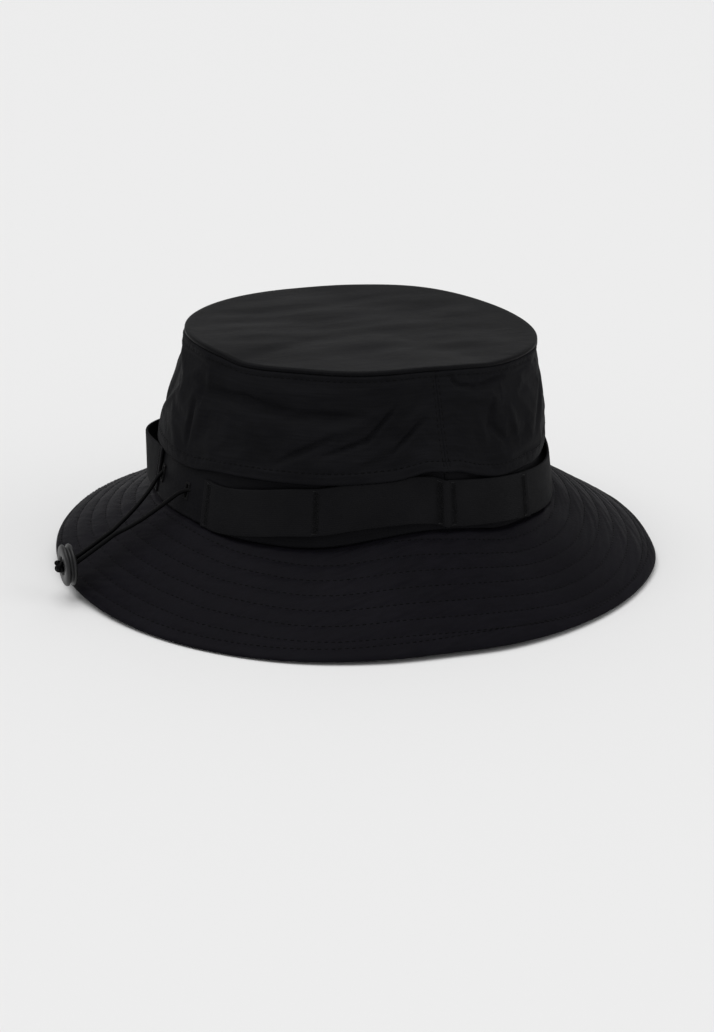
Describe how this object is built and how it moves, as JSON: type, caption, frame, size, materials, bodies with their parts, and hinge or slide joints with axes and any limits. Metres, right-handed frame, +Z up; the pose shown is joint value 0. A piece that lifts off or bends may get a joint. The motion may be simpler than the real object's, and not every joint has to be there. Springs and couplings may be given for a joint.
{
  "type": "bucket hat",
  "caption": "Soft bucket hat with an oval crown, webbing-taped band with loops, quilted brim and a rear elastic drawcord with a sliding disc lock.",
  "frame": {"origin": "on the floor that the brim stands on, in the middle of the brim's outline, leaving out the drawcord, its lock and its knot", "axes": "+Z up; -Y towards the front of the hat, +Y towards the rear where the drawcord leaves the band; +X towards the wearer's left"},
  "size_m": [0.2816, 0.3105, 0.114],
  "materials": {
    "tip_cloth": "fine crinkled nylon, near black, soft sheen",
    "shell_cloth": "plain woven nylon, near black, soft sheen",
    "brim_cloth": "plain woven nylon quilted with spiral rows of stitching, near black",
    "webbing": "flat ribbed nylon webbing, black, matte",
    "thread": "polyester sewing thread, black",
    "interlining": "stiff unbleached interlining, hidden inside the brim",
    "sweatband_cloth": "brushed tricot, black, matte",
    "binding_tape": "folded nylon binding, black",
    "elastic_cord": "braided elastic cord, black",
    "lock_plastic": "moulded satin plastic, dark grey to black"
  },
  "bodies": {
    "hat": {"band_front": "shell_cloth", "band_rear": "shell_cloth", "bar_tack_front": "thread", "bar_tack_front_left": "thread", "bar_tack_front_right": "thread", "bar_tack_left_rear": "thread", "bar_tack_left_rear_end": "thread", "bar_tack_left_seam_front": "thread", "bar_tack_left_seam_rear": "thread", "bar_tack_right_front": "thread", "bar_tack_right_rear": "thread", "bar_tack_right_rear_end": "thread", "bar_tack_right_seam_front": "thread", "bar_tack_right_seam_rear": "thread", "brim_interlining": "interlining", "brim_lining": "brim_cloth", "brim_seam_binding": "binding_tape", "brim_upper": "brim_cloth", "buttonhole_left": "thread", "buttonhole_right": "thread", "cord_knot": "elastic_cord", "crown_tip": "tip_cloth", "crown_wall_front": "shell_cloth", "crown_wall_rear": "shell_cloth", "drawcord_channel_run": "elastic_cord", "drawcord_strand_left": "elastic_cord", "drawcord_strand_right": "elastic_cord", "side_seam_binding_left": "binding_tape", "side_seam_binding_right": "binding_tape", "sweatband": "sweatband_cloth", "tape_front": "webbing", "tape_left_side": "webbing", "tape_loop_left_rear": "webbing", "tape_loop_right_front": "webbing", "tape_right_rear": "webbing", "tape_right_side": "webbing", "tip_seam_binding": "binding_tape"},
    "lock": {"cord_lock": "lock_plastic"}
  },
  "joints": [
    {"name": "cord_lock_slide", "type": "slide", "parent": "hat", "child": "lock", "axis": [0, -0.8673, 0.4978], "range_m": [0, 0.018]}
  ]
}
